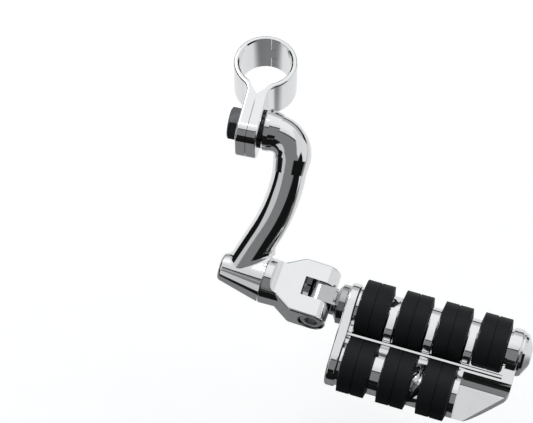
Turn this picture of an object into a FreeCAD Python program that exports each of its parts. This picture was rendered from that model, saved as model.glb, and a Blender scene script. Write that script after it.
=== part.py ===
import FreeCAD, Part
import math
import os

from FreeCAD import Matrix, Placement, Rotation, Vector

# Clamp-on highway peg: a two-piece tube clamp, a curved offset arm, a fork and a folding double-row peg.
# Frame: origin at the middle of the clamp bore, +Z along the bore, +X along the clamp bolt towards the peg,
# -Y towards the clamp ears. Millimetres and degrees.

# Clamp
tube_dia = 31.75            # 1-1/4 inch guard tube
clamp_height = 29.0
clamp_wall = 3.2
ear_thickness = 6.3
ear_gap = 0.3
ear_blend_radius = 8.0      # outside blend from the ring into an ear
bolt_to_bore = 38.0
ear_reach = 16.5            # bolt axis to the end of an ear
ear_corner_radius = 9.0
ear_edge_round = 1.2
bore_edge_break = 0.8
hook_height = 9.0           # interlocking tab at the back of the clamp
hook_angle = 11.0
hook_clearance = 0.25

# Clamp bolt and washer
bolt_dia = 12.7             # 1/2 inch
bolt_head_flats = 19.05
bolt_head_height = 6.6
bolt_hole_clearance = 0.35
bolt_thread_depth = 17.0
bolt_hole_end_room = 2.0
lock_washer_thickness = 1.6
lock_washer_dia = 23.0

# Fits
running_clearance = 0.08    # radial, in each pivot
face_clearance = 0.3        # between faces of pieces that turn on each other
seat_clearance = 0.05       # pieces that are bedded in one another

# Offset arm
arm_dia = 20.4
collar_dia = 25.4
collar_length = 3.5
elbow_radius = 12.5
elbow_dia = 22.8            # the casting is thicker round the elbow
elbow_drop = 0.9            # elbow's axis below the bolt axis
arm_offset = 27.4           # clamp centre to the straight part of the arm, along X
arm_straight = 9.0
arm_bow_radius = 100.0
arm_bow_angle = 23.0
arm_lean = 38.0             # direction of the arm below the ears
arm_reach = 86.4            # bolt axis to barrel axis
barrel_drop = 6.1           # barrel axis off the bolt axis, in the plane of the arm
barrel_left = -3.6
barrel_right = 23.9
barrel_dia = 28.4
barrel_tip_dia = 17.6
barrel_tip_round = 2.8
arm_root_fillet = 4.5
barrel_spare = 6.4

# Fork
hub_end_dia = 26.4
hub_flat_start = 34.5
hub_cove = 5.6
fork_width = 36.6
fork_thickness = 17.5
fork_shoulder_start = 37.0
fork_shoulder_end = 45.0
fork_shoulder_round = 4.0
fork_edge_round = 1.5
pivot_x = 58.8
slot_bottom_x = 48.1
slot_width = 12.5
spigot_dia = 16.0
spigot_length = 7.0

# Fork screw, from the bottom of the slot into the barrel
fork_screw_dia = 7.94
fork_screw_head_dia = 11.8
fork_screw_head_height = 6.0
fork_screw_thread = 9.0
fork_washer_thickness = 1.4

# Pivot screw
pivot_dia = 9.52
pivot_head_dia = 14.2
pivot_head_height = 5.6
pivot_recess_dia = 15.8
pivot_recess_depth = 6.6
pivot_socket_flats = 7.94
pivot_thread_depth = 8.5
friction_washer_thickness = 0.4
friction_washer_dia = 13.0

# Peg mount: the tongue in the fork and the collar under the peg
tongue_width = 11.1
tongue_height = 13.6
tongue_corner = 1.2
mount_x = 72.0              # where the tongue's axis turns into the peg's axis
peg_rise = 4.2              # peg axis above the tongue's axis
mount_collar_dia = 24.0
mount_collar_start = -2.4
mount_neck_dia = 16.0
mount_neck_start = -3.7
mount_spigot_dia = 17.0
mount_spigot_length = 13.0

# Peg body, in the peg's own frame: x along the peg, rows side by side in y
peg_roll = 11.5             # the two rows tip towards the ears' side
body_start = 4.6
body_end = 110.8
lobe_dia = 26.4
row_spacing = 35.2
rib_y = -18.4
rim_height = 1.2            # end rims above the floor between the pads
inner_rim_width = 6.2
outer_rim_width = 6.6
rim_edge_round = 1.4
web_top = 4.2
web_bottom = -8.5
rib_top = 7.4
rib_width = 2.4
rib_foot_width = 5.4
short_row_end = 82.0
shelf_top = -1.0
shelf_fall = 4.0
cove_radius = 7.6
sweep_start_x = 86.8
sweep_end_x = 107.4
sweep_end_y = -29.3
sweep_corner_radius = 8.5

# Pads
pad_start = 12.2
pad_pitch = 24.0
pad_base_length = 18.6
pad_top_length = 16.5
pad_height = 5.3
pocket_depth = 1.2
pad_edge_angle = 15.0       # outer edge above the rows' own level
pad_rib_gap = 2.8           # inner edge to the middle of the rib
pad_count_long = 4
pad_count_short = 3
pad_groove_width = 0.7
pad_groove_depth = 0.5

# Through bolt and end cap
peg_bolt_dia = 9.52
peg_bolt_head_dia = 14.4
peg_bolt_head_height = 9.0
peg_bolt_washer_thickness = 1.6
peg_bolt_seat_x = 92.6
peg_bolt_thread = 11.0
peg_bolt_socket_flats = 7.94
cap_dia = 26.6
cap_face_dia = 12.4
cap_length = 6.6
cap_band = 1.2
cap_stem_dia = 17.0
cap_stem_length = 6.6

X_AXIS = Vector(1, 0, 0)
Y_AXIS = Vector(0, 1, 0)
Z_AXIS = Vector(0, 0, 1)
ORIGIN = Vector(0, 0, 0)

tube_r = tube_dia / 2
ring_r = tube_r + clamp_wall
arm_r = arm_dia / 2
lobe_r = lobe_dia / 2
rim_r = lobe_r + rim_height
pad_r = lobe_r + pad_height
elbow_r = elbow_dia / 2
short_row_rib = -row_spacing - rib_y
hub_left = barrel_right + face_clearance
washer_face = ear_thickness + ear_gap / 2 + lock_washer_thickness
collar_face = washer_face + face_clearance


# Frames

def frame(origin, x_dir, y_dir):
    """Placement whose own axes lie along x_dir, y_dir and their cross product."""
    z_dir = x_dir.cross(y_dir)
    m = Matrix(x_dir.x, y_dir.x, z_dir.x, origin.x,
               x_dir.y, y_dir.y, z_dir.y, origin.y,
               x_dir.z, y_dir.z, z_dir.z, origin.z,
               0, 0, 0, 1)
    return Placement(m)


def arm_frame():
    """x along the bolt, y down the arm, origin on the bolt axis."""
    lean = math.radians(arm_lean)
    down = Vector(0, -math.cos(lean), -math.sin(lean))
    return frame(Vector(0, -bolt_to_bore, 0), X_AXIS, down)


def fork_frame():
    """x along the barrel, y level, origin on the barrel axis below the clamp's centre plane."""
    lean = math.radians(arm_lean)
    drop = math.radians(barrel_drop)
    down = Vector(0, -math.cos(lean), -math.sin(lean))
    along = X_AXIS * math.cos(drop) + down * math.sin(drop)
    level = Y_AXIS - along * along.dot(Y_AXIS)
    level.normalize()
    return frame(Vector(0, -bolt_to_bore, 0) + down * arm_reach, along, level)


def peg_frame():
    """x along the peg, y across its rows."""
    rise = Placement(Vector(mount_x, 0, 0), Rotation(Y_AXIS, -peg_rise))
    roll = Placement(ORIGIN, Rotation(X_AXIS, peg_roll))
    return fork_frame().multiply(rise).multiply(roll)


def placed(shape, placement):
    out = shape.copy()
    out.Placement = placement.multiply(out.Placement)
    return out


# Small shape helpers

def rod(radius, x0, x1, y=0.0, z=0.0):
    return Part.makeCylinder(radius, x1 - x0, Vector(x0, y, z), X_AXIS)


def rod_y(radius, y0, y1, x=0.0, z=0.0):
    return Part.makeCylinder(radius, y1 - y0, Vector(x, y0, z), Y_AXIS)


def block(x0, x1, y0, y1, z0, z1):
    return Part.makeBox(x1 - x0, y1 - y0, z1 - z0, Vector(x0, y0, z0))


def hexagon_rod(flats, x0, x1):
    corner = flats / math.sqrt(3)
    points = [Vector(x0, corner * math.cos(math.radians(60 * i)), corner * math.sin(math.radians(60 * i)))
              for i in range(7)]
    return Part.Face(Part.makePolygon(points)).extrude(Vector(x1 - x0, 0, 0))


def turned(points):
    """Solid of revolution about X from (x, r) points joined by straight lines."""
    outline = [Vector(x, 0, r) for x, r in points]
    outline.append(outline[0])
    return Part.Face(Part.makePolygon(outline)).revolve(ORIGIN, X_AXIS, 360)


def arc(a, middle, b):
    return Part.Arc(a, middle, b).toShape()


def line(a, b):
    return Part.LineSegment(a, b).toShape()


def edges_where(shape, test):
    return [edge for edge in shape.Edges if test(edge)]


def fuse_all(shapes):
    return shapes[0].multiFuse(shapes[1:]).removeSplitter()


# Clamp

def clamp_half_outline():
    """Half of the clamp seen along the bore, on the +X side of the seam."""
    seam = ear_gap / 2
    outer_face = seam + ear_thickness
    blend_x = outer_face + ear_blend_radius
    reach = ring_r + ear_blend_radius
    blend = Vector(blend_x, -math.sqrt(reach ** 2 - blend_x ** 2), 0)
    toward = math.atan2(blend.y, blend.x)
    ring_end = Vector(ring_r * math.cos(toward), ring_r * math.sin(toward), 0)
    bore_end = Vector(tube_r * math.cos(toward), tube_r * math.sin(toward), 0)
    back_outer = Vector(seam, math.sqrt(ring_r ** 2 - seam ** 2), 0)
    back_inner = Vector(seam, math.sqrt(tube_r ** 2 - seam ** 2), 0)
    ear_top_outer = Vector(outer_face, blend.y, 0)
    ear_end = -bolt_to_bore - ear_reach
    inner_r = ear_blend_radius + clamp_wall
    leave = math.pi - (math.pi - (math.pi + toward)) * 0.35
    blend_mid_angle = (math.pi + toward + math.pi) / 2
    blend_mid = blend + Vector(math.cos(blend_mid_angle), math.sin(blend_mid_angle), 0) * ear_blend_radius
    inner_stop = blend + Vector(math.cos(leave), math.sin(leave), 0) * inner_r
    inner_mid_angle = (math.pi + toward + leave) / 2
    inner_mid = blend + Vector(math.cos(inner_mid_angle), math.sin(inner_mid_angle), 0) * inner_r
    seam_start = Vector(seam, inner_stop.y - (inner_stop.x - seam) * 1.1, 0)
    edges = [
        arc(back_outer, Vector(ring_r, 0, 0), ring_end),
        arc(ring_end, blend_mid, ear_top_outer),
        line(ear_top_outer, Vector(outer_face, ear_end, 0)),
        line(Vector(outer_face, ear_end, 0), Vector(seam, ear_end, 0)),
        line(Vector(seam, ear_end, 0), seam_start),
        line(seam_start, inner_stop),
        arc(inner_stop, inner_mid, bore_end),
        arc(bore_end, Vector(tube_r, 0, 0), back_inner),
        line(back_inner, back_outer),
    ]
    return Part.Face(Part.Wire(edges))


def ear_profile_tool():
    """Block that leaves the ears with rounded free corners, seen along the bolt."""
    half = clamp_height / 2
    y_end = -bolt_to_bore - ear_reach
    plate = block(-2 * ring_r, 2 * ring_r, y_end, 2 * ring_r, -half, half)
    corners = edges_where(plate, lambda e: abs(e.CenterOfMass.y - y_end) < 0.01
                          and abs(abs(e.CenterOfMass.z) - half) < 0.01)
    return plate.makeFillet(ear_corner_radius, corners)


def back_sector(inner, outer, angle_from, angle_to, height):
    """Sector of the ring, between two angles measured from +X."""
    ring = Part.makeCylinder(outer, height, Vector(0, 0, -height / 2), Z_AXIS, angle_to - angle_from)
    ring.rotate(ORIGIN, Z_AXIS, angle_from)
    hole = Part.makeCylinder(inner, height, Vector(0, 0, -height / 2), Z_AXIS)
    return ring.cut(hole)


def clamp_half(side):
    """side +1 carries the arm, side -1 carries the bolt head."""
    half = clamp_height / 2
    solid = clamp_half_outline().extrude(Vector(0, 0, clamp_height))
    solid.translate(Vector(0, 0, -half))
    solid = solid.common(ear_profile_tool())
    rims = edges_where(solid, lambda e: abs(abs(e.CenterOfMass.z) - half) < 0.01 and is_outer_edge(e))
    solid = solid.makeFillet(ear_edge_round, rims)
    solid = solid.cut(Part.makeCone(tube_r + bore_edge_break, tube_r, bore_edge_break, Vector(0, 0, half - bore_edge_break),
                                    Z_AXIS).mirror(Vector(0, 0, half - bore_edge_break / 2), Z_AXIS))
    solid = solid.cut(Part.makeCone(tube_r + bore_edge_break, tube_r, bore_edge_break, Vector(0, 0, -half), Z_AXIS))
    hole = rod(bolt_dia / 2 + bolt_hole_clearance, -1, 2 * ear_thickness, -bolt_to_bore)
    solid = solid.cut(hole)
    if side < 0:
        solid = solid.mirror(ORIGIN, X_AXIS)
        tab = back_sector(tube_r, ring_r, 90 - hook_angle, 91, hook_height)
        solid = solid.fuse(tab).removeSplitter()
    else:
        room = math.degrees(hook_clearance / tube_r)
        notch = back_sector(tube_r - 1, ring_r + 1, 90 - hook_angle - room, 92, hook_height + 2 * hook_clearance)
        solid = solid.cut(notch)
    return solid


def is_outer_edge(edge):
    """True for a rim edge on the outside of the clamp half, away from the bore and the seam."""
    middle = edge.valueAt((edge.FirstParameter + edge.LastParameter) / 2)
    radius = math.hypot(middle.x, middle.y)
    on_bore = radius < ring_r - 0.2 and middle.y > -tube_r
    near_seam = middle.x < ear_thickness * 0.75
    on_inner_flare = radius < ring_r + 0.2 and middle.y < -tube_r * 0.5 and middle.x < ring_r * 0.45
    return not (on_bore or near_seam or on_inner_flare)


def clamp_bolt():
    head_face = -(ear_gap / 2 + ear_thickness)
    head = hexagon_rod(bolt_head_flats, head_face - bolt_head_height, head_face)
    corner = bolt_head_flats / math.sqrt(3)
    crown = turned([(head_face, 0), (head_face, corner + 1), (head_face - bolt_head_height + 2.0, corner + 1),
                    (head_face - bolt_head_height, corner - 2.2), (head_face - bolt_head_height, 0)])
    head = head.common(crown)
    tip = collar_face + bolt_thread_depth
    shank = turned([(head_face, 0), (head_face, bolt_dia / 2), (tip - 1.2, bolt_dia / 2), (tip, bolt_dia / 2 - 1.2), (tip, 0)])
    return placed(fuse_all([head, shank]), Placement(Vector(0, -bolt_to_bore, 0), Rotation()))


def arm_lock_washer():
    """Toothed washer between the outer ear and the arm's collar."""
    start = ear_gap / 2 + ear_thickness
    outer = lock_washer_dia / 2
    ring = rod(outer, start, start + lock_washer_thickness)
    tooth = block(start - 1, start + 3, outer - 1.1, outer + 1, -0.75, 0.75)
    for i in range(16):
        ring = ring.cut(placed(tooth, Placement(ORIGIN, Rotation(X_AXIS, 360 * i / 16))))
    ring = ring.cut(rod(bolt_dia / 2 + bolt_hole_clearance, start - 1, start + 3))
    return placed(ring, Placement(Vector(0, -bolt_to_bore, 0), Rotation()))


# Offset arm

def swept_bar(radius, path):
    """Round bar along a wire in the plane of the arm, which starts at its first point."""
    first = path.Edges[0]
    start = first.valueAt(first.FirstParameter)
    along = first.tangentAt(first.FirstParameter)
    return path.makePipeShell([Part.Wire(Part.makeCircle(radius, start, along))], True, False)


def arm_bars():
    """Elbow, taper, then the bowed run into the barrel, in the plane of the arm."""
    stub_x = arm_offset - elbow_radius
    mid_turn = math.radians(45)
    bend_mid = Vector(stub_x + elbow_radius * math.sin(mid_turn),
                      elbow_drop + elbow_radius * (1 - math.cos(mid_turn)), 0)
    stub_end = Vector(stub_x, elbow_drop, 0)
    bend_end = Vector(arm_offset, elbow_drop + elbow_radius, 0)
    elbow = swept_bar(elbow_r, Part.Wire([line(Vector(collar_face + 1, elbow_drop, 0), stub_end),
                                          arc(stub_end, bend_mid, bend_end)]))
    bow_start = bend_end + Vector(0, arm_straight, 0)
    taper = Part.makeCone(elbow_r, arm_r, arm_straight, bend_end, Y_AXIS)
    bow = math.radians(arm_bow_angle)

    def bow_point(angle):
        return bow_start + Vector(-arm_bow_radius * (1 - math.cos(angle)), arm_bow_radius * math.sin(angle), 0)

    bow_end = bow_point(bow)
    run = (arm_reach - bow_end.y) / math.cos(bow)
    run_end = bow_end + Vector(-math.sin(bow), math.cos(bow), 0) * run
    bowed = swept_bar(arm_r, Part.Wire([arc(bow_start, bow_point(bow / 2), bow_end), line(bow_end, run_end)]))
    return placed(elbow.fuse(taper), arm_frame()), placed(bowed, arm_frame())


def arm_collar():
    """Face against the ear, tapering into the bent bar."""
    edge = 1.0
    taper_end = arm_offset - elbow_radius + 3.5
    half = collar_dia / 2
    return turned([(collar_face, 0), (collar_face, half - edge), (collar_face + edge, half),
                   (collar_face + collar_length, half), (taper_end, elbow_r - 0.4), (taper_end, 0)])


def barrel_blank():
    """Tapered barrel about the fork's axis, carried on past both of its ends."""
    tip_x = barrel_left + barrel_tip_round
    slope = (barrel_dia - barrel_tip_dia) / 2 / (barrel_right - tip_x)
    low, high = barrel_left - barrel_dia / 2, barrel_right + barrel_spare
    r = barrel_dia / 2
    return turned([(low, 0), (low, r + slope * (low - barrel_right)),
                   (high, r + slope * (high - barrel_right)), (high, 0)])


def offset_arm():
    fork_place = fork_frame()
    local = fork_place.inverse()
    elbow, bar = arm_bars()
    collar = placed(arm_collar(), arm_frame())
    solid = bar.fuse(placed(barrel_blank(), fork_place)).removeSplitter().Solids[0]
    junction = edges_where(solid, lambda e: isinstance(e.Curve, Part.BSplineCurve))
    solid = solid.makeFillet(arm_root_fillet, junction)
    wide = 2 * barrel_dia
    beyond_tip = block(barrel_left - wide, barrel_left, -barrel_dia, barrel_dia, -barrel_dia, barrel_dia)
    beyond_face = turned([(barrel_right, 0), (barrel_right, barrel_dia / 2 + face_clearance),
                          (barrel_right + barrel_spare, barrel_dia / 2 + barrel_spare + face_clearance),
                          (barrel_right + wide, barrel_dia / 2 + barrel_spare), (barrel_right + wide, 0)])
    solid = solid.cut(placed(beyond_tip, fork_place))
    solid = solid.cut(placed(beyond_face, fork_place))

    def rim_at(x):
        return edges_where(solid, lambda e: abs(local.multVec(e.CenterOfMass).x - x) < 0.01
                           and all(abs(local.multVec(v.Point).x - x) < 0.01 for v in e.Vertexes))

    solid = solid.makeFillet(barrel_tip_round, rim_at(barrel_left))
    solid = fuse_all([solid, elbow, collar])
    thread = rod(bolt_dia / 2 + running_clearance, collar_face - 1,
                 collar_face + bolt_thread_depth + bolt_hole_end_room, -bolt_to_bore)
    spigot_bore = rod(spigot_dia / 2 + running_clearance, barrel_right - spigot_length - 0.5, barrel_right + 1)
    screw_bore = rod(fork_screw_dia / 2 + running_clearance,
                     barrel_right - spigot_length - fork_screw_thread - 1, barrel_right)
    solid = solid.cut(thread)
    solid = solid.cut(placed(spigot_bore, fork_place))
    return solid.cut(placed(screw_bore, fork_place))


# Fork

def fork_plate():
    """Flat part of the fork: shoulders, full width and ends rounded about the pivot."""
    half_w = fork_width / 2
    half_t = fork_thickness / 2
    hub_half = hub_end_dia / 2
    slope = (fork_shoulder_end - fork_shoulder_start) / (half_w - hub_half)
    inner_w = 0.7 * hub_half
    inner_x = fork_shoulder_start - slope * (hub_half - inner_w)
    points = [Vector(inner_x, -inner_w, 0), Vector(fork_shoulder_end, -half_w, 0),
              Vector(pivot_x + half_t, -half_w, 0), Vector(pivot_x + half_t, half_w, 0),
              Vector(fork_shoulder_end, half_w, 0), Vector(inner_x, inner_w, 0)]
    plan = Part.Face(Part.makePolygon(points + [points[0]]))
    plate = plan.extrude(Vector(0, 0, fork_thickness))
    plate.translate(Vector(0, 0, -half_t))
    corners = edges_where(plate, lambda e: abs(e.CenterOfMass.z) < 0.01
                          and abs(e.CenterOfMass.x - fork_shoulder_end) < 0.01)
    plate = plate.makeFillet(fork_shoulder_round, corners)
    side = block(0, pivot_x, -half_w - 1, half_w + 1, -half_t, half_t)
    nose = rod_y(half_t, -half_w - 1, half_w + 1, pivot_x)
    return plate.common(fuse_all([side, nose]))


def fork_hub():
    """Tapered round hub against the barrel, coved down above and below to the plate's thickness."""
    r = barrel_dia / 2
    end_r = hub_end_dia / 2
    end_x = fork_shoulder_end - 1
    edge = 0.6
    hub = turned([(hub_left, 0), (hub_left, r - edge), (hub_left + edge, r), (end_x, end_r), (end_x, 0)])
    half_t = fork_thickness / 2
    top = half_t + hub_cove
    s = hub_cove * math.sin(math.radians(45))
    cove_x = hub_flat_start
    wide = 2 * r
    edges = [
        line(Vector(cove_x - hub_cove, -wide, wide), Vector(cove_x - hub_cove, -wide, top)),
        arc(Vector(cove_x - hub_cove, -wide, top), Vector(cove_x - s, -wide, top - s), Vector(cove_x, -wide, half_t)),
        line(Vector(cove_x, -wide, half_t), Vector(end_x + 1, -wide, half_t)),
        line(Vector(end_x + 1, -wide, half_t), Vector(end_x + 1, -wide, wide)),
        line(Vector(end_x + 1, -wide, wide), Vector(cove_x - hub_cove, -wide, wide)),
    ]
    above = Part.Face(Part.Wire(edges)).extrude(Vector(0, 2 * wide, 0))
    return hub.cut(above).cut(above.mirror(ORIGIN, Z_AXIS))


def fork():
    half_w = fork_width / 2
    half_t = fork_thickness / 2
    plate = fork_plate()
    long_edges = edges_where(plate, lambda e: abs(abs(e.CenterOfMass.z) - half_t) < 0.01
                             and abs(e.CenterOfMass.y) > barrel_dia / 2
                             and e.CenterOfMass.x > fork_shoulder_start)
    plate = plate.makeFillet(fork_edge_round, long_edges)
    solid = fuse_all([plate, fork_hub()])
    slot = block(slot_bottom_x, pivot_x + fork_thickness, -slot_width / 2, slot_width / 2, -fork_thickness, fork_thickness)
    solid = solid.cut(slot)
    solid = fuse_all([solid, rod(spigot_dia / 2, barrel_right - spigot_length, hub_left + 1)])
    head_x = slot_bottom_x - fork_screw_head_height
    solid = solid.cut(rod(fork_screw_dia / 2 + running_clearance, barrel_right - spigot_length - 1, slot_bottom_x))
    solid = solid.cut(rod(fork_screw_head_dia / 2 + 0.3, head_x - fork_washer_thickness, slot_bottom_x + 1))
    solid = solid.cut(rod_y(pivot_recess_dia / 2, -half_w - 1, -half_w + pivot_recess_depth, pivot_x))
    bore_end = slot_width / 2 + pivot_thread_depth + 1.0
    return solid.cut(rod_y(pivot_dia / 2 + running_clearance, -half_w, bore_end, pivot_x))


def socket_screw(dia, head_dia, head_height, length, socket_flats):
    """Cap screw along +X: head from -head_height to 0, shank from 0 to length."""
    head_r = head_dia / 2
    body = turned([(-head_height, 0), (-head_height, head_r - 0.6), (-head_height + 0.6, head_r), (0, head_r),
                   (0, dia / 2), (length - 1, dia / 2), (length, dia / 2 - 1), (length, 0)])
    socket = hexagon_rod(socket_flats, -head_height - 1, -head_height * 0.42)
    return body.cut(socket)


def fork_screw():
    """Holds the fork to the barrel; its head lies below the bottom of the slot."""
    seat = slot_bottom_x - fork_screw_head_height
    length = seat - (barrel_right - spigot_length - fork_screw_thread)
    screw = socket_screw(fork_screw_dia, fork_screw_head_dia, fork_screw_head_height - 0.4, length, 6.35)
    return placed(screw, Placement(Vector(seat, 0, 0), Rotation(Z_AXIS, 180)))


def fork_washer():
    seat = slot_bottom_x - fork_screw_head_height
    ring = rod(fork_screw_head_dia / 2, seat - fork_washer_thickness, seat)
    return ring.cut(rod(fork_screw_dia / 2 + 0.2, seat - 5, seat + 5))


def pivot_screw():
    seat = -fork_width / 2 + pivot_recess_depth
    length = slot_width / 2 + pivot_thread_depth - seat
    screw = socket_screw(pivot_dia, pivot_head_dia, pivot_head_height, length, pivot_socket_flats)
    return placed(screw, Placement(Vector(pivot_x, seat, 0), Rotation(Z_AXIS, 90)))


def friction_washer(side):
    outside = side * slot_width / 2
    inside = outside - side * friction_washer_thickness
    low, high = sorted((outside, inside))
    ring = rod_y(friction_washer_dia / 2, low, high, pivot_x)
    return ring.cut(rod_y(pivot_dia / 2 + running_clearance, low - 1, high + 1, pivot_x))


# Peg mount

def tongue():
    """Plate in the fork: top corner round, lower corner square as the stop of the fold."""
    half_h = tongue_height / 2
    half_w = tongue_width / 2
    heel_x = slot_bottom_x + face_clearance
    nose = rod_y(half_h, -half_w, half_w, pivot_x)
    bar = block(pivot_x, mount_x, -half_w, half_w, -half_h, half_h)
    heel = block(heel_x, pivot_x, -half_w, half_w, -half_h, -half_h * 0.25)
    solid = fuse_all([nose, bar, heel])
    corners = edges_where(solid, lambda e: e.CenterOfMass.x < pivot_x - half_h * 0.5
                          and abs(abs(e.CenterOfMass.y) - half_w) < 0.01 and abs(e.CenterOfMass.x - heel_x) < 0.01)
    solid = solid.makeChamfer(tongue_corner, corners)
    return solid.cut(rod_y(pivot_dia / 2 + running_clearance, -half_w - 1, half_w + 1, pivot_x))


def mount_collar():
    """Turned collar and spigot under the peg, in the peg's frame."""
    r = mount_collar_dia / 2
    neck = mount_neck_dia / 2
    spigot = mount_spigot_dia / 2
    end = body_start + mount_spigot_length
    return turned([(mount_neck_start, 0), (mount_neck_start, neck), (mount_collar_start, neck), (mount_collar_start + 2.6, r),
                   (body_start - 0.7, r), (body_start, r - 0.7), (body_start, spigot),
                   (end - 1, spigot), (end, spigot - 1), (end, 0)])


def peg_mount():
    solid = fuse_all([placed(tongue(), fork_frame()), placed(mount_collar(), peg_frame())])
    end = body_start + mount_spigot_length
    bore = rod(peg_bolt_dia / 2, end - peg_bolt_thread - 1, end + 1)
    return solid.cut(placed(bore, peg_frame()))


# Peg body

def row_prism(radius, x0, x1):
    """Both rows joined into one stadium, from x0 to x1."""
    slab = block(x0, x1, -row_spacing, 0, -radius, radius)
    return fuse_all([rod(radius, x0, x1), rod(radius, x0, x1, -row_spacing), slab])


def rib_section(x0, x1):
    """Rib between the rows, wider at its foot."""
    top, foot = rib_width / 2, rib_foot_width / 2
    points = [Vector(x0, rib_y - foot, web_top - 1), Vector(x0, rib_y - foot, web_top), Vector(x0, rib_y - top, rib_top - 0.6),
              Vector(x0, rib_y - top + 0.6, rib_top), Vector(x0, rib_y + top - 0.6, rib_top),
              Vector(x0, rib_y + top, rib_top - 0.6), Vector(x0, rib_y + foot, web_top), Vector(x0, rib_y + foot, web_top - 1)]
    return Part.Face(Part.makePolygon(points + [points[0]])).extrude(Vector(x1 - x0, 0, 0))


def sweep_outline():
    """Prism of the peg's plan, with the swept corner beyond the short row."""
    low = -row_spacing - rim_r
    high = rim_r
    points = [Vector(body_start, high, 0), Vector(body_end, high, 0), Vector(body_end, sweep_end_y, 0),
              Vector(sweep_end_x, sweep_end_y, 0), Vector(sweep_start_x, low, 0), Vector(body_start, low, 0)]
    run = points[3] - points[4]
    corner_y = sweep_end_y + (body_end - sweep_end_x) * run.y / run.x
    points[2] = Vector(body_end, corner_y, 0)
    del points[3]
    plan = Part.Face(Part.makePolygon(points + [points[0]]))
    prism = plan.extrude(Vector(0, 0, 4 * rim_r))
    prism.translate(Vector(0, 0, -2 * rim_r))
    upright = edges_where(prism, lambda e: abs(e.CenterOfMass.z) < 0.01 and abs(e.CenterOfMass.x - body_end) < 0.01
                          and abs(e.CenterOfMass.y - corner_y) < 0.01)
    prism = prism.makeFillet(sweep_corner_radius, upright)
    upright = edges_where(prism, lambda e: abs(e.CenterOfMass.z) < 0.01 and abs(e.CenterOfMass.x - sweep_start_x) < 0.01)
    return prism.makeFillet(sweep_corner_radius, upright)


def shelf_cutter():
    """Clears the swept corner above a coved shelf, beyond the short row."""
    far = body_end + 5
    wall_y = rib_y - rib_foot_width / 2
    top = 2 * rim_r
    cove_top = shelf_top + cove_radius
    cove_y = wall_y - cove_radius
    s = math.sin(math.radians(45)) * cove_radius
    low_y = -row_spacing - 2 * rim_r
    x = short_row_end
    edges = [
        line(Vector(x, wall_y, top), Vector(x, wall_y, cove_top)),
        arc(Vector(x, wall_y, cove_top), Vector(x, cove_y + s, cove_top - s), Vector(x, cove_y, shelf_top)),
        line(Vector(x, cove_y, shelf_top), Vector(x, low_y, shelf_top - shelf_fall)),
        line(Vector(x, low_y, shelf_top - shelf_fall), Vector(x, low_y, top)),
        line(Vector(x, low_y, top), Vector(x, wall_y, top)),
    ]
    return Part.Face(Part.Wire(edges)).extrude(Vector(far - x, 0, 0))


def peg_body():
    floor = fuse_all([rod(lobe_r, body_start, body_end), rod(lobe_r, body_start, body_end, -row_spacing),
                      block(body_start, body_end, -row_spacing, 0, web_bottom, web_top)])
    rim = row_prism(rim_r, body_start, body_start + inner_rim_width)
    face_edges = edges_where(rim, lambda e: abs(e.CenterOfMass.x - body_start) < 0.01
                             or abs(e.CenterOfMass.x - body_start - inner_rim_width) < 0.01)
    rim = rim.makeFillet(rim_edge_round, face_edges)
    end_rim = rod(rim_r, body_end - outer_rim_width, body_end)
    end_rim = end_rim.makeFillet(rim_edge_round, edges_where(end_rim, lambda e: abs(e.CenterOfMass.x - body_end) < 0.01
                                                             and e.Length > rim_r))
    wing = row_prism(lobe_r, short_row_end - 2, body_end).common(
        block(short_row_end - 2, body_end, -row_spacing - lobe_r, 0, -lobe_r, shelf_top + cove_radius))
    solid = fuse_all([floor, rim, end_rim, wing, rib_section(body_start + 1, body_end - outer_rim_width)])
    solid = solid.common(sweep_outline())
    solid = solid.cut(shelf_cutter())
    for seat in pad_seats():
        solid = solid.cut(seat)
    spigot = mount_spigot_dia / 2 + seat_clearance
    solid = solid.cut(rod(spigot, body_start - 1, body_start + mount_spigot_length + 0.5))
    solid = solid.cut(rod(peg_bolt_dia / 2 + 0.3, body_start, body_end))
    return solid.cut(rod(cap_stem_dia / 2 + seat_clearance, peg_bolt_seat_x, body_end + 1))


# Pads

def pad_section(grow, outer_r, x, rib_reach):
    """Section of a pad about its row's axis at station x; rib_reach is the rib's distance, grow widens it for the seat."""
    inner_r = lobe_r - pocket_depth - grow
    edge = math.radians(pad_edge_angle)
    reach = -(rib_reach - pad_rib_gap) - grow
    foot = web_top - pocket_depth - grow
    outer_end = math.acos(reach / outer_r)
    inner_end = math.pi - math.asin(foot / inner_r)

    def at(radius, angle):
        return Vector(x, radius * math.cos(angle), radius * math.sin(angle))

    edge_drop = grow / outer_r
    start = edge - edge_drop
    return Part.Wire([
        arc(at(outer_r, start), at(outer_r, math.pi / 2), at(outer_r, outer_end)),
        line(at(outer_r, outer_end), Vector(x, reach, foot)),
        line(Vector(x, reach, foot), at(inner_r, inner_end)),
        arc(at(inner_r, inner_end), at(inner_r, math.pi / 2), at(inner_r, start)),
        line(at(inner_r, start), at(outer_r, start)),
    ])


def pad_blank(x, rib_reach):
    """Pad whose two flanks draw in towards its top."""
    full = Part.Face(pad_section(0, pad_r, x, rib_reach)).extrude(Vector(pad_base_length, 0, 0))
    draw = (pad_base_length - pad_top_length) / 2
    low, high = lobe_r, pad_r
    half = pad_base_length / 2
    middle = x + half
    flank = turned([(middle - half, 0), (middle - half, low), (middle - half + draw, high), (middle - half + draw, high + 30),
                    (middle + half - draw, high + 30), (middle + half - draw, high), (middle + half, low), (middle + half, 0)])
    return full.common(flank)


def pad(x, rib_reach):
    solid = pad_blank(x, rib_reach)
    middle = x + pad_base_length / 2
    half = pad_groove_width / 2
    band = rod(pad_r + 20, middle - half, middle + half).cut(
        rod(pad_r - pad_groove_depth, middle - half - 1, middle + half + 1))
    return solid.cut(band)


def on_short_row(shape):
    """The short row is the long row mirrored half way between their axes."""
    return shape.mirror(Vector(0, -row_spacing / 2, 0), Y_AXIS)


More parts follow.
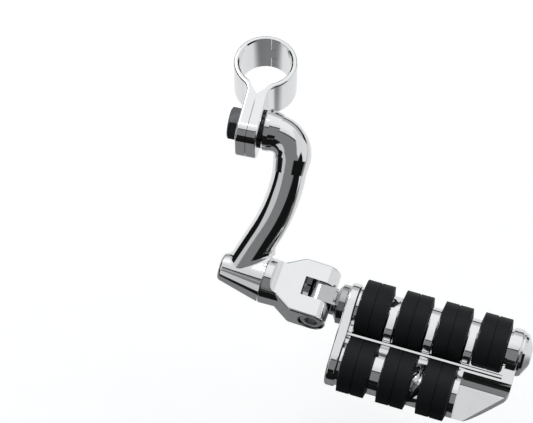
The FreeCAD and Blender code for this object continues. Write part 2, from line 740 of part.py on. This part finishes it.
def pad_stations(count):
    return [pad_start + i * pad_pitch for i in range(count)]


def pad_seats():
    seats = []
    for count, rib_reach, short in ((pad_count_long, -rib_y, False), (pad_count_short, -short_row_rib, True)):
        for x in pad_stations(count):
            section = Part.Face(pad_section(seat_clearance, pad_r + 10, x - seat_clearance, rib_reach))
            seat = section.extrude(Vector(pad_base_length + 2 * seat_clearance, 0, 0))
            room = block(x - 1, x + pad_base_length + 1, -rib_reach + pad_rib_gap - seat_clearance, 0, 0, 3 * pad_r)
            seat = seat.common(rod(lobe_r + 3, x - 1, x + pad_base_length + 1).fuse(room))
            seats.append(on_short_row(seat) if short else seat)
    return seats


# Through bolt and end cap

def peg_bolt():
    """Holds the body on the mount's spigot; its head lies under the end cap."""
    seat = peg_bolt_seat_x + peg_bolt_washer_thickness
    tip = body_start + mount_spigot_length - peg_bolt_thread
    screw = socket_screw(peg_bolt_dia, peg_bolt_head_dia, peg_bolt_head_height, seat - tip, peg_bolt_socket_flats)
    return placed(screw, Placement(Vector(seat, 0, 0), Rotation(Z_AXIS, 180)))


def peg_bolt_washer():
    ring = rod(cap_stem_dia / 2 - 0.4, peg_bolt_seat_x, peg_bolt_seat_x + peg_bolt_washer_thickness)
    return ring.cut(rod(peg_bolt_dia / 2 + 0.3, peg_bolt_seat_x - 1, peg_bolt_seat_x + 5))


def end_cap():
    """Domed knob with a stem in the mouth of the bolt's bore."""
    r = cap_dia / 2
    face = cap_face_dia / 2
    tip = body_end + cap_length
    shoulder = Vector(body_end + cap_band + 1.6, 0, r - 0.9)
    face_edge = Vector(tip - 0.6, 0, face)
    edges = [
        line(Vector(body_end, 0, 0), Vector(body_end, 0, r)),
        line(Vector(body_end, 0, r), Vector(body_end + cap_band, 0, r)),
        line(Vector(body_end + cap_band, 0, r), shoulder),
        line(shoulder, face_edge),
        arc(face_edge, Vector(tip - 0.12, 0, face - 1.3), Vector(tip, 0, face - 2.8)),
        line(Vector(tip, 0, face - 2.8), Vector(tip, 0, 0)),
        line(Vector(tip, 0, 0), Vector(body_end, 0, 0)),
    ]
    knob = Part.Face(Part.Wire(edges)).revolve(ORIGIN, X_AXIS, 360)
    stem = rod(cap_stem_dia / 2, body_end - cap_stem_length, body_end)
    return fuse_all([knob, stem])


# Assembly

def build_nodes():
    fork_place = fork_frame()
    peg_place = peg_frame()
    nodes = {
        "clamp_half_head_side": clamp_half(-1),
        "clamp_half_arm_side": clamp_half(1),
        "clamp_bolt": clamp_bolt(),
        "arm_lock_washer": arm_lock_washer(),
        "offset_arm": offset_arm(),
        "fork": placed(fork(), fork_place),
        "fork_screw": placed(fork_screw(), fork_place),
        "fork_screw_washer": placed(fork_washer(), fork_place),
        "pivot_screw": placed(pivot_screw(), fork_place),
        "friction_washer_near": placed(friction_washer(-1), fork_place),
        "friction_washer_far": placed(friction_washer(1), fork_place),
        "peg_mount": peg_mount(),
        "peg_body": placed(peg_body(), peg_place),
        "peg_bolt": placed(peg_bolt(), peg_place),
        "peg_bolt_washer": placed(peg_bolt_washer(), peg_place),
        "end_cap": placed(end_cap(), peg_place),
    }
    for i, x in enumerate(pad_stations(pad_count_long)):
        nodes["long_row_pad_%d" % (i + 1)] = placed(pad(x, -rib_y), peg_place)
    for i, x in enumerate(pad_stations(pad_count_short)):
        nodes["short_row_pad_%d" % (i + 1)] = placed(on_short_row(pad(x, -short_row_rib)), peg_place)
    return nodes


os.makedirs("parts", exist_ok=True)
for name, shape in build_nodes().items():
    shape.exportStep("parts/%s.step" % name)
    print(name, "solids", len(shape.Solids), "valid", shape.isValid(), "volume", round(shape.Volume, 1))
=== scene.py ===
"""Looks of a clamp-on highway peg: polished chrome, black rubber pads and a dark bolt, over white paper."""
import bpy
import math
from mathutils import Matrix, Vector


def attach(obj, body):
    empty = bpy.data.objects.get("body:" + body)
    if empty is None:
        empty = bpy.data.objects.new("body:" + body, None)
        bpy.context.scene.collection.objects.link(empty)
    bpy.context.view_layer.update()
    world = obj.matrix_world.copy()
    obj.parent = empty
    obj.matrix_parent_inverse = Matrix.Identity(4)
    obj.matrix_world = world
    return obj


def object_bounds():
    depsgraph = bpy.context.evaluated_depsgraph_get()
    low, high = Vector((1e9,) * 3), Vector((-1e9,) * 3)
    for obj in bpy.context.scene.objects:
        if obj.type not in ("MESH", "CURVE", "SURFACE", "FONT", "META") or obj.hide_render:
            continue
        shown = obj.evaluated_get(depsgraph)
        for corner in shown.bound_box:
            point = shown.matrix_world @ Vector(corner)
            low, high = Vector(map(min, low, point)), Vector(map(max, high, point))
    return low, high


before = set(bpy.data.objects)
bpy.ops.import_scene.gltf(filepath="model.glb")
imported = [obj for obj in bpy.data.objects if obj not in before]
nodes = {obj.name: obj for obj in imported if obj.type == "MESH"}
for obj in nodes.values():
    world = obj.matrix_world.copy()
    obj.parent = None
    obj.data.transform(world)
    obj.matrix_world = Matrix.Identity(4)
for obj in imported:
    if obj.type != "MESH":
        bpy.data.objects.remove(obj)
cad_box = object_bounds()

# Camera, in the row's own frame (metres, degrees, pixels of an image 533 wide)
IMAGE_W = 533
FOCAL_PX = 1843.0
SENSOR_MM = 36.0
CAMERA_AZ = -13.0
CAMERA_EL = 60.2
CAMERA_DISTANCE = 1.115
CAMERA_RIGHT = -0.00054
CAMERA_UP = 0.08255
CAMERA_CLIP_END = 20

# Nodes by finish
PADS = ["long_row_pad_%d" % i for i in range(1, 5)] + ["short_row_pad_%d" % i for i in range(1, 4)]
CHROME_NODES = ["clamp_half_head_side", "clamp_half_arm_side", "offset_arm", "fork", "peg_body", "end_cap"]
DARK_NODES = ["clamp_bolt", "arm_lock_washer", "fork_screw", "peg_bolt"]
SATIN_NODES = ["peg_mount"]
BRIGHT_NODES = ["fork_screw_washer", "pivot_screw", "friction_washer_near", "friction_washer_far",
                "peg_bolt_washer"]
SMOOTH_ANGLE = 32

# Metals: colour, its share where the haze is thickest, roughness range, height (m) and scale of the waviness
CHROME = ((0.86, 0.865, 0.87), 0.94, (0.045, 0.09), 0.00012, 45.0)
DARK_STEEL = ((0.10, 0.103, 0.11), 0.7, (0.42, 0.6), 0.00004, 300.0)
SATIN_CHROME = ((0.5, 0.505, 0.51), 0.94, (0.08, 0.16), 0.00008, 60.0)
BRIGHT_ZINC = ((0.62, 0.62, 0.63), 0.85, (0.2, 0.36), 0.00004, 300.0)
HAZE_SCALE = 90.0
HAZE_RANGE = (0.35, 0.7)

# Rubber
RUBBER = (0.0082, 0.0102, 0.0112)
RUBBER_WORN = 1.35
RUBBER_ROUGH = (0.5, 0.66)
RUBBER_SHINE = 0.18
GRAIN_SCALE = 2600.0
GRAIN_HEIGHT = 0.00005
GRAIN_STRENGTH = 0.6
BLOOM_SCALE = 60.0
BLOOM_COLOUR_RANGE = (0.4, 0.7)
BLOOM_ROUGH_RANGE = (0.3, 0.7)

# Webs between the pads of the long row, in the peg's own axes (millimetres: along, across, up)
MM = 0.001
PEG_ORIGIN = Vector((71.592, -112.113, -57.904))
PEG_ALONG = Vector((0.99648, -0.08351, 0.00783))
PEG_ACROSS = Vector((0.08041, 0.97771, 0.19397))
PEG_UP = Vector((-0.02386, -0.19266, 0.98098))
WEB_PITCH = 24.0
WEB_START = 30.9
WEB_WIDTH = 5.2
WEB_COUNT = 3
WEB_SECTION = [(3.2, 12.6), (1.5, 13.3), (-10.8, 13.3), (-12.8, 12.6), (-14.6, 11.2), (-16.0, 9.4),
               (-17.2, 7.2), (-17.4, 5.0), (-12.0, 4.0)]
WEB_ROUND = 0.6
WEB_ROUND_STEPS = 3
WEB_ROUND_ANGLE = 50
WEB_SMOOTH_ANGLE = 40

# Studio that the metal sees. An edge is where a band goes from off to on, as a part of a unit direction.
UP = (0, 0, 1)
BACK = (0, 1, 0)
TILTED_BACK = (-0.35, 1, 0)
CEILING_TO_BACK = (-0.2, 0.35)
CEILING_LEVEL = 0.76
BACK_LEVEL = 0.98
BACK_LOW_EDGE = (0.6, 0.35)
BACK_LOW_LEVEL = 0.55
SIDE_TOP_EDGE = (0.6, 0.5)
SIDE_BACK_EDGE = (0.34, 0.24)
GAP_EDGE = (-0.2, -0.22)
FRONT_EDGE = (-0.28, -0.3)
FRONT_LEVEL = 0.22
FRONT_LOW_EDGE = (0.42, 0.38)
STRAY_EDGE = (0.56, 0.6)
STRAY_SCALE = 3.2
STRAY_ROUGH = 0.6
STRAY_DISTORTION = 0.6
STRAY_LEVEL = 0.22
HORIZON_EDGE = (0.16, 0.04)
DARK_LEVEL = 0.008
COOL_TINT = {"Red": 0.985, "Green": 1.0, "Blue": 1.012}
# Cards: azimuth, elevation, half width, half height, softness, level
CARDS = [
    (12, 14, 0.45, 0.5, 0.05, 0.8),
    (5, 41, 0.62, 0.22, 0.05, 0.78),
    (209, 28, 0.3, 0.24, 0.03, 0.62),
    (-124, 8, 0.2, 0.28, 0.03, 0.62),
    (-40, 6, 0.55, 0.5, 0.03, DARK_LEVEL)]
CARD_NEAREST = 0.001

# Floor, below the lowest point that the peg reaches when it swings down
FLOOR_GAP = 0.155
FLOOR_EDGES = (-1.2, 0.9, -0.42, 2.5)
PAPER_WHITE = (1.0, 1.0, 1.0)
PAPER_GREY = (0.97, 0.97, 0.97)
PAPER_GRAIN_SCALE = 40.0
PAPER_ROUGH = 0.9
PAPER_LIFT = 0.28
PAPER_LIFT_IN_METAL = 0.1
# Painted dark reflection: in metal only, the paper in front of the peg is partly dark, as painted shade in
# the reflections on the peg's undersides and front faces.
PAINTED_DARK_REFLECTION = (0.05, 0.05, 0.052, 1)
PAINTED_DARK_REFLECTION_EDGE = (-0.12, -0.03)
PAINTED_DARK_REFLECTION_SHARE = 0.75

# Key light
KEY_PLACE = Vector((-0.5, 0.6, 1.3))
KEY_TARGET = Vector((0.05, -0.06, -0.06))
KEY_SIZE = 0.5
KEY_WATTS = 5.0


def new_material(name):
    mat = bpy.data.materials.new(name)
    mat.use_nodes = True
    return mat, mat.node_tree.nodes, mat.node_tree.links, mat.node_tree.nodes["Principled BSDF"]


def noise(n, scale, detail=2.0, rough=0.5):
    texture = n.new("ShaderNodeTexNoise")
    texture.inputs["Scale"].default_value = scale
    texture.inputs["Detail"].default_value = detail
    texture.inputs["Roughness"].default_value = rough
    return texture


def use_object_coords(n, links, *textures):
    coords = n.new("ShaderNodeTexCoord")
    for texture in textures:
        links.new(coords.outputs["Object"], texture.inputs["Vector"])


def ramp(n, links, value, low, high, out_low=0.0, out_high=1.0, kind="LINEAR"):
    """A value spread from one range onto another and held at its ends."""
    spread = n.new("ShaderNodeMapRange")
    spread.interpolation_type = kind
    spread.inputs["From Min"].default_value = low
    spread.inputs["From Max"].default_value = high
    spread.inputs["To Min"].default_value = out_low
    spread.inputs["To Max"].default_value = out_high
    links.new(value, spread.inputs["Value"])
    return spread.outputs["Result"]


def step(n, links, value, low, high, out_low=0.0, out_high=1.0):
    """Soft step from one level to another as the value goes from low to high."""
    return ramp(n, links, value, low, high, out_low, out_high, "SMOOTHSTEP")


def dot(n, links, direction, axis):
    product = n.new("ShaderNodeVectorMath")
    product.operation = "DOT_PRODUCT"
    links.new(direction, product.inputs[0])
    product.inputs[1].default_value = axis
    return product.outputs["Value"]


def feed(links, socket, value):
    """Sets a socket to a number, or links it to another node's output."""
    if isinstance(value, (int, float)):
        socket.default_value = value
    else:
        links.new(value, socket)


def calc(n, links, operation, a, b):
    result = n.new("ShaderNodeMath")
    result.operation = operation
    for socket, value in zip(result.inputs, (a, b)):
        feed(links, socket, value)
    return result.outputs["Value"]


def layer(n, links, below, mask, value):
    """One level laid over the one below where the mask is on."""
    mix = n.new("ShaderNodeMix")
    mix.data_type = "FLOAT"
    links.new(mask, mix.inputs["Factor"])
    feed(links, mix.inputs["A"], below)
    feed(links, mix.inputs["B"], value)
    return mix.outputs["Result"]


def colour_mix(n, links, factor, a, b):
    mix = n.new("ShaderNodeMix")
    mix.data_type = "RGBA"
    mix.inputs["A"].default_value = (*a, 1)
    mix.inputs["B"].default_value = (*b, 1)
    links.new(factor, mix.inputs["Factor"])
    return mix.outputs["Result"]


def shader_mix(n, links, factor, a, b):
    mix = n.new("ShaderNodeMixShader")
    links.new(factor, mix.inputs["Fac"])
    links.new(a, mix.inputs[1])
    links.new(b, mix.inputs[2])
    return mix.outputs["Shader"]


def bump(n, links, height, distance, strength=1.0):
    relief = n.new("ShaderNodeBump")
    relief.inputs["Distance"].default_value = distance
    relief.inputs["Strength"].default_value = strength
    links.new(height, relief.inputs["Height"])
    return relief.outputs["Normal"]


def metal(name, colour, tint, rough_range, wave, wave_scale):
    """Polished or plated metal: slight waviness from hand polishing, faint haze and tint changes."""
    mat, n, links, shader = new_material(name)
    haze = noise(n, HAZE_SCALE, detail=4.0, rough=0.6)
    sway = noise(n, wave_scale, detail=1.0, rough=0.4)
    use_object_coords(n, links, haze, sway)
    haze_level = haze.outputs["Fac"]
    faded = tuple(c * tint for c in colour)
    links.new(colour_mix(n, links, haze_level, colour, faded), shader.inputs["Base Color"])
    links.new(ramp(n, links, haze_level, *HAZE_RANGE, *rough_range), shader.inputs["Roughness"])
    links.new(bump(n, links, sway.outputs["Fac"], wave), shader.inputs["Normal"])
    shader.inputs["Metallic"].default_value = 1.0
    return mat


def rubber(name):
    """Moulded rubber: fine grain, faint bloom in broad patches."""
    mat, n, links, shader = new_material(name)
    grain = noise(n, GRAIN_SCALE, detail=3.0, rough=0.6)
    bloom = noise(n, BLOOM_SCALE, detail=3.0, rough=0.55)
    use_object_coords(n, links, grain, bloom)
    bloom_level = bloom.outputs["Fac"]
    worn = tuple(c * RUBBER_WORN for c in RUBBER)
    patch = ramp(n, links, bloom_level, *BLOOM_COLOUR_RANGE)
    links.new(colour_mix(n, links, patch, RUBBER, worn), shader.inputs["Base Color"])
    links.new(ramp(n, links, bloom_level, *BLOOM_ROUGH_RANGE, *RUBBER_ROUGH), shader.inputs["Roughness"])
    links.new(bump(n, links, grain.outputs["Fac"], GRAIN_HEIGHT, GRAIN_STRENGTH), shader.inputs["Normal"])
    shader.inputs["Specular IOR Level"].default_value = RUBBER_SHINE
    return mat


def dress(names, material):
    """One finish on these nodes, with their round faces smooth and their edges sharp."""
    for name in names:
        mesh = nodes[name].data
        mesh.shade_smooth()
        mesh.set_sharp_from_angle(angle=math.radians(SMOOTH_ANGLE))
        mesh.materials.clear()
        mesh.materials.append(material)


def add_object(name, data):
    obj = bpy.data.objects.new(name, data)
    bpy.context.scene.collection.objects.link(obj)
    return obj


def add_web(index, material):
    """Flat-topped web between two pads, from the crown of the casting down to the rib in its valley."""
    start = WEB_START + index * WEB_PITCH
    points = [(PEG_ORIGIN + PEG_ALONG * x + PEG_ACROSS * y + PEG_UP * z) * MM
              for x in (start, start + WEB_WIDTH) for y, z in WEB_SECTION]
    count = len(WEB_SECTION)
    sides = [(i, (i + 1) % count, (i + 1) % count + count, i + count) for i in range(count)]
    ends = [tuple(reversed(range(count))), tuple(range(count, 2 * count))]
    name = "pad_web_%d" % (index + 1)
    mesh = bpy.data.meshes.new(name)
    mesh.from_pydata(points, [], sides + ends)
    mesh.shade_smooth()
    mesh.set_sharp_from_angle(angle=math.radians(WEB_SMOOTH_ANGLE))
    mesh.materials.append(material)
    web = add_object(name, mesh)
    edges = web.modifiers.new("edges", "BEVEL")
    edges.width = WEB_ROUND * MM
    edges.segments = WEB_ROUND_STEPS
    edges.angle_limit = math.radians(WEB_ROUND_ANGLE)
    edges.harden_normals = True
    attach(web, "peg")


def add_camera():
    az, el = math.radians(CAMERA_AZ), math.radians(CAMERA_EL)
    right = Vector((math.cos(az), -math.sin(az), 0))
    forward = Vector((math.sin(az) * math.cos(el), math.cos(az) * math.cos(el), -math.sin(el)))
    up = right.cross(forward)
    data = bpy.data.cameras.new("camera")
    data.sensor_width = SENSOR_MM
    data.lens = FOCAL_PX * SENSOR_MM / IMAGE_W
    data.clip_end = CAMERA_CLIP_END
    camera = add_object("camera", data)
    place = -(right * CAMERA_RIGHT + up * CAMERA_UP + forward * CAMERA_DISTANCE)
    turn = Matrix((right, up, -forward)).transposed().to_4x4()
    camera.matrix_world = Matrix.Translation(place) @ turn
    bpy.context.scene.camera = camera


def add_key_light():
    data = bpy.data.lights.new("key", "AREA")
    data.shape = "RECTANGLE"
    data.size = data.size_y = KEY_SIZE
    data.energy = KEY_WATTS
    light = add_object("key", data)
    light.location = KEY_PLACE
    light.rotation_euler = (KEY_TARGET - KEY_PLACE).to_track_quat("-Z", "Y").to_euler()


def card(n, links, direction, azimuth, elevation, half_w, half_h, soft):
    """Mask of a flat rectangular card far away; azimuth turns from +X toward +Y, sizes are tangents."""
    az, el = math.radians(azimuth), math.radians(elevation)
    facing = Vector((math.cos(az) * math.cos(el), math.sin(az) * math.cos(el), math.sin(el)))
    across = Vector((-math.sin(az), math.cos(az), 0))
    along = facing.cross(across)
    ahead = calc(n, links, "MAXIMUM", dot(n, links, direction, facing), CARD_NEAREST)
    masks = []
    for axis, half in ((across, half_w), (along, half_h)):
        aside = calc(n, links, "ABSOLUTE", dot(n, links, direction, axis), 0.0)
        tangent = calc(n, links, "DIVIDE", aside, ahead)
        masks.append(step(n, links, tangent, half - soft, half + soft, 1.0, 0.0))
    return calc(n, links, "MULTIPLY", *masks)


def studio_level(n, links):
    """Brightness of the room by direction: a light ceiling and back, a grey front, dark gaps, and cards."""
    direction = n.new("ShaderNodeTexCoord").outputs["Generated"]
    height = dot(n, links, direction, UP)
    back = dot(n, links, direction, BACK)
    tilted = dot(n, links, direction, TILTED_BACK)
    sides_low = calc(n, links, "MULTIPLY", step(n, links, height, *SIDE_TOP_EDGE),
                     step(n, links, back, *SIDE_BACK_EDGE))
    front = step(n, links, tilted, *FRONT_EDGE)
    front_low = calc(n, links, "MULTIPLY", front, step(n, links, height, *FRONT_LOW_EDGE))
    stray = noise(n, STRAY_SCALE, rough=STRAY_ROUGH)
    stray.inputs["Distortion"].default_value = STRAY_DISTORTION
    links.new(direction, stray.inputs["Vector"])
    spots = calc(n, links, "MULTIPLY", front_low, step(n, links, stray.outputs["Fac"], *STRAY_EDGE))
    bands = [
        (step(n, links, height, *BACK_LOW_EDGE), BACK_LOW_LEVEL),
        (sides_low, DARK_LEVEL),
        (step(n, links, tilted, *GAP_EDGE), DARK_LEVEL),
        (front, FRONT_LEVEL),
        (front_low, DARK_LEVEL),
        (spots, STRAY_LEVEL),
        (step(n, links, height, *HORIZON_EDGE), DARK_LEVEL)]
    bands += [(card(n, links, direction, *place_and_size), value) for *place_and_size, value in CARDS]
    level = step(n, links, back, *CEILING_TO_BACK, CEILING_LEVEL, BACK_LEVEL)
    for mask, value in bands:
        level = layer(n, links, level, mask, value)
    return level


def add_world():
    """White behind everything for the camera, and the studio for the metal."""
    world = bpy.data.worlds.new("studio")
    bpy.context.scene.world = world
    world.use_nodes = True
    n, links = world.node_tree.nodes, world.node_tree.links
    n.clear()
    level = studio_level(n, links)
    tint = n.new("ShaderNodeCombineColor")
    for channel, share in COOL_TINT.items():
        links.new(calc(n, links, "MULTIPLY", level, share), tint.inputs[channel])
    room = n.new("ShaderNodeBackground")
    links.new(tint.outputs["Color"], room.inputs["Color"])
    white = n.new("ShaderNodeBackground")
    white.inputs["Color"].default_value = (1, 1, 1, 1)
    seen = n.new("ShaderNodeLightPath").outputs["Is Camera Ray"]
    both = shader_mix(n, links, seen, room.outputs["Background"], white.outputs["Background"])
    links.new(both, n.new("ShaderNodeOutputWorld").inputs["Surface"])


def paper():
    """White paper that keeps the shadow: brighter for the camera, and in metal a painted dark reflection in
    front of the peg.
    """
    mat, n, links, shader = new_material("floor_paper")
    grain = noise(n, PAPER_GRAIN_SCALE)
    use_object_coords(n, links, grain)
    colour = colour_mix(n, links, grain.outputs["Fac"], PAPER_WHITE, PAPER_GREY)
    links.new(colour, shader.inputs["Base Color"])
    shader.inputs["Roughness"].default_value = PAPER_ROUGH
    shader.inputs["Emission Color"].default_value = (1, 1, 1, 1)
    path = n.new("ShaderNodeLightPath").outputs
    seen = calc(n, links, "MAXIMUM", path["Is Camera Ray"], path["Is Transmission Ray"])
    lift = calc(n, links, "MULTIPLY", seen, PAPER_LIFT)
    lift_in_metal = calc(n, links, "MULTIPLY", path["Is Glossy Ray"], PAPER_LIFT_IN_METAL)
    links.new(calc(n, links, "ADD", lift, lift_in_metal), shader.inputs["Emission Strength"])
    depth = dot(n, links, n.new("ShaderNodeTexCoord").outputs["Object"], BACK)
    # Painted shade in reflections: glossy rays see the paper in front of the peg partly dark.
    painted_dark_front = step(n, links, depth, *PAINTED_DARK_REFLECTION_EDGE, PAINTED_DARK_REFLECTION_SHARE, 0.0)
    dark = n.new("ShaderNodeBsdfDiffuse")
    dark.inputs["Color"].default_value = PAINTED_DARK_REFLECTION
    painted_dark_share = calc(n, links, "MULTIPLY", painted_dark_front, path["Is Glossy Ray"])
    both = shader_mix(n, links, painted_dark_share, shader.outputs["BSDF"], dark.outputs["BSDF"])
    links.new(both, n["Material Output"].inputs["Surface"])
    return mat


def add_floor():
    z = cad_box[0][2] - FLOOR_GAP
    left, right, front, rear = FLOOR_EDGES
    corners = [(left, front, z), (right, front, z), (right, rear, z), (left, rear, z)]
    mesh = bpy.data.meshes.new("floor")
    mesh.from_pydata(corners, [], [(0, 1, 2, 3)])
    mesh.materials.append(paper())
    add_object("floor", mesh)


chrome = metal("chrome_plate", *CHROME)
dress(CHROME_NODES, chrome)
dress(DARK_NODES, metal("dark_steel", *DARK_STEEL))
dress(SATIN_NODES, metal("mount_chrome", *SATIN_CHROME))
dress(BRIGHT_NODES, metal("bright_zinc", *BRIGHT_ZINC))
dress(PADS, rubber("pad_rubber"))
for i in range(WEB_COUNT):
    add_web(i, chrome)

add_camera()
add_world()
add_floor()
add_key_light()

bpy.context.scene.view_settings.view_transform = "Standard"
